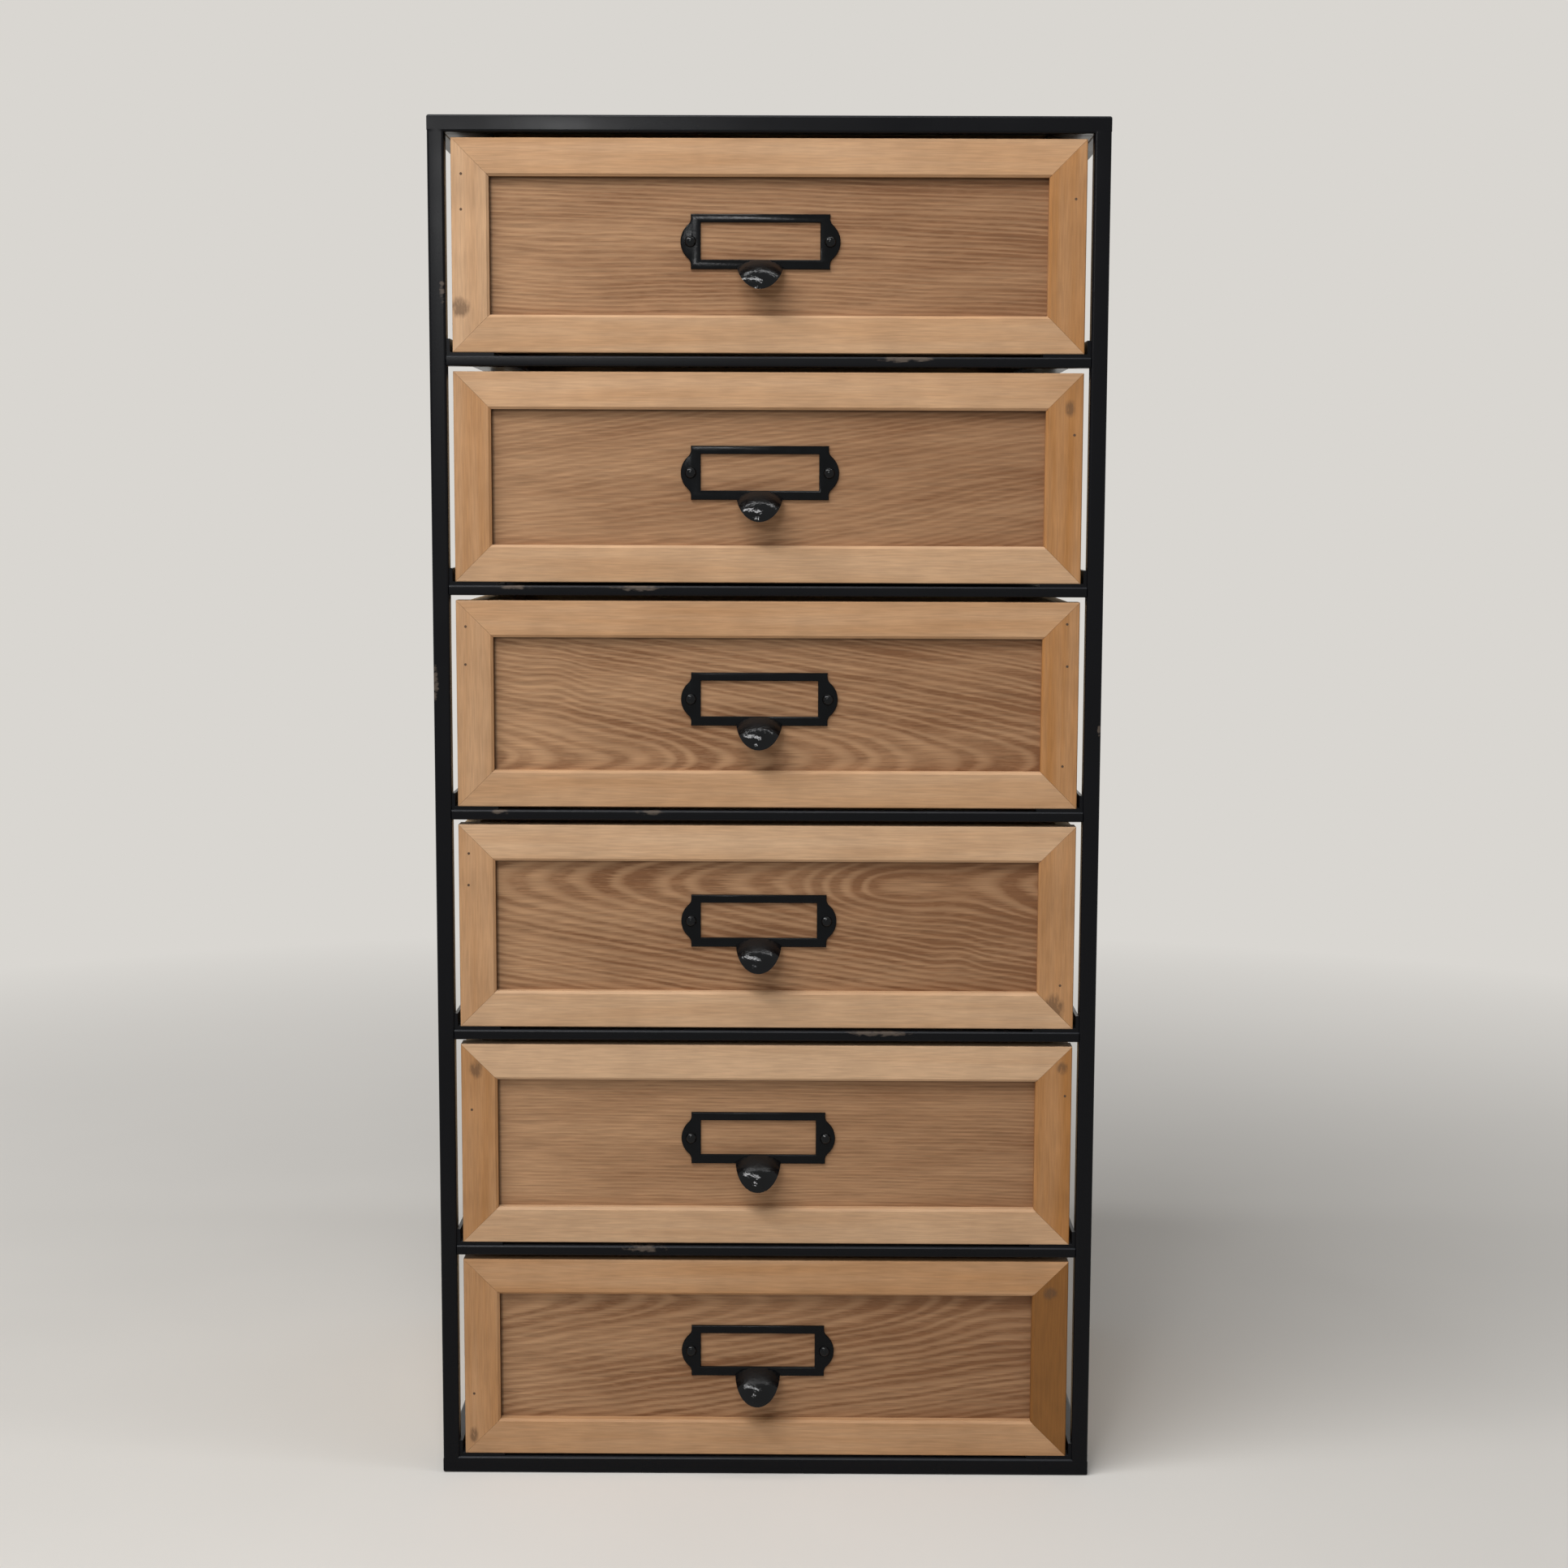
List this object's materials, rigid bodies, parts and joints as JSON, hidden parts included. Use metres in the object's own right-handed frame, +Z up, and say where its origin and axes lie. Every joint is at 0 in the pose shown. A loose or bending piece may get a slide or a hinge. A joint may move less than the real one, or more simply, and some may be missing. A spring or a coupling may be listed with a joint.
{
  "type": "drawer cabinet",
  "caption": "Open black steel-tube cabinet with a column of equal wooden drawers, each with a mitred front, a label holder and a finger lip.",
  "frame": {"origin": "on the floor, under the middle of the whole box that the cabinet and its lips fill", "axes": "+Z up along the posts, drawers open towards -Y, +X to the right seen from the front"},
  "size_m": [0.4, 0.314, 0.824],
  "materials": {
    "frame_steel": "satin black paint, worn on edges",
    "moulding_wood": "sanded pale softwood, clear matt",
    "panel_wood": "stained veneer with open grain, matt",
    "box_wood": "plain sawn softwood",
    "box_ply": "thin plywood",
    "top_wood": "sanded softwood board, clear matt",
    "pull_iron": "gloss black enamel"
  },
  "bodies": {
    "frame": {"front_post_left": "frame_steel", "front_post_right": "frame_steel", "rear_post_left": "frame_steel", "rear_post_right": "frame_steel", "bottom_front_rail": "frame_steel", "bottom_rear_rail": "frame_steel", "bottom_side_rails": "frame_steel", "top_front_rail": "frame_steel", "top_rear_rail": "frame_steel", "top_side_rails": "frame_steel", "front_cross_rails": "frame_steel", "rear_cross_rails": "frame_steel", "drawer_runners_left": "frame_steel", "drawer_runners_right": "frame_steel", "top_support_tabs": "frame_steel", "top_board": "top_wood"},
    "drawer_1": {"drawer_1_front_frame": "moulding_wood", "drawer_1_front_panel": "panel_wood", "drawer_1_sides": "box_wood", "drawer_1_back": "box_wood", "drawer_1_bottom": "box_ply", "drawer_1_pull": "pull_iron", "drawer_1_pull_screws": "pull_iron"},
    "drawer_2": {"drawer_2_front_frame": "moulding_wood", "drawer_2_front_panel": "panel_wood", "drawer_2_sides": "box_wood", "drawer_2_back": "box_wood", "drawer_2_bottom": "box_ply", "drawer_2_pull": "pull_iron", "drawer_2_pull_screws": "pull_iron"},
    "drawer_3": {"drawer_3_front_frame": "moulding_wood", "drawer_3_front_panel": "panel_wood", "drawer_3_sides": "box_wood", "drawer_3_back": "box_wood", "drawer_3_bottom": "box_ply", "drawer_3_pull": "pull_iron", "drawer_3_pull_screws": "pull_iron"},
    "drawer_4": {"drawer_4_front_frame": "moulding_wood", "drawer_4_front_panel": "panel_wood", "drawer_4_sides": "box_wood", "drawer_4_back": "box_wood", "drawer_4_bottom": "box_ply", "drawer_4_pull": "pull_iron", "drawer_4_pull_screws": "pull_iron"},
    "drawer_5": {"drawer_5_front_frame": "moulding_wood", "drawer_5_front_panel": "panel_wood", "drawer_5_sides": "box_wood", "drawer_5_back": "box_wood", "drawer_5_bottom": "box_ply", "drawer_5_pull": "pull_iron", "drawer_5_pull_screws": "pull_iron"},
    "drawer_6": {"drawer_6_front_frame": "moulding_wood", "drawer_6_front_panel": "panel_wood", "drawer_6_sides": "box_wood", "drawer_6_back": "box_wood", "drawer_6_bottom": "box_ply", "drawer_6_pull": "pull_iron", "drawer_6_pull_screws": "pull_iron"}
  },
  "joints": [
    {"name": "drawer_1_slide", "type": "slide", "parent": "frame", "child": "drawer_1", "axis": [0, -1, 0], "range_m": [0, 0.2]},
    {"name": "drawer_2_slide", "type": "slide", "parent": "frame", "child": "drawer_2", "axis": [0, -1, 0], "range_m": [0, 0.2]},
    {"name": "drawer_3_slide", "type": "slide", "parent": "frame", "child": "drawer_3", "axis": [0, -1, 0], "range_m": [0, 0.2]},
    {"name": "drawer_4_slide", "type": "slide", "parent": "frame", "child": "drawer_4", "axis": [0, -1, 0], "range_m": [0, 0.2]},
    {"name": "drawer_5_slide", "type": "slide", "parent": "frame", "child": "drawer_5", "axis": [0, -1, 0], "range_m": [0, 0.2]},
    {"name": "drawer_6_slide", "type": "slide", "parent": "frame", "child": "drawer_6", "axis": [0, -1, 0], "range_m": [0, 0.2]}
  ]
}
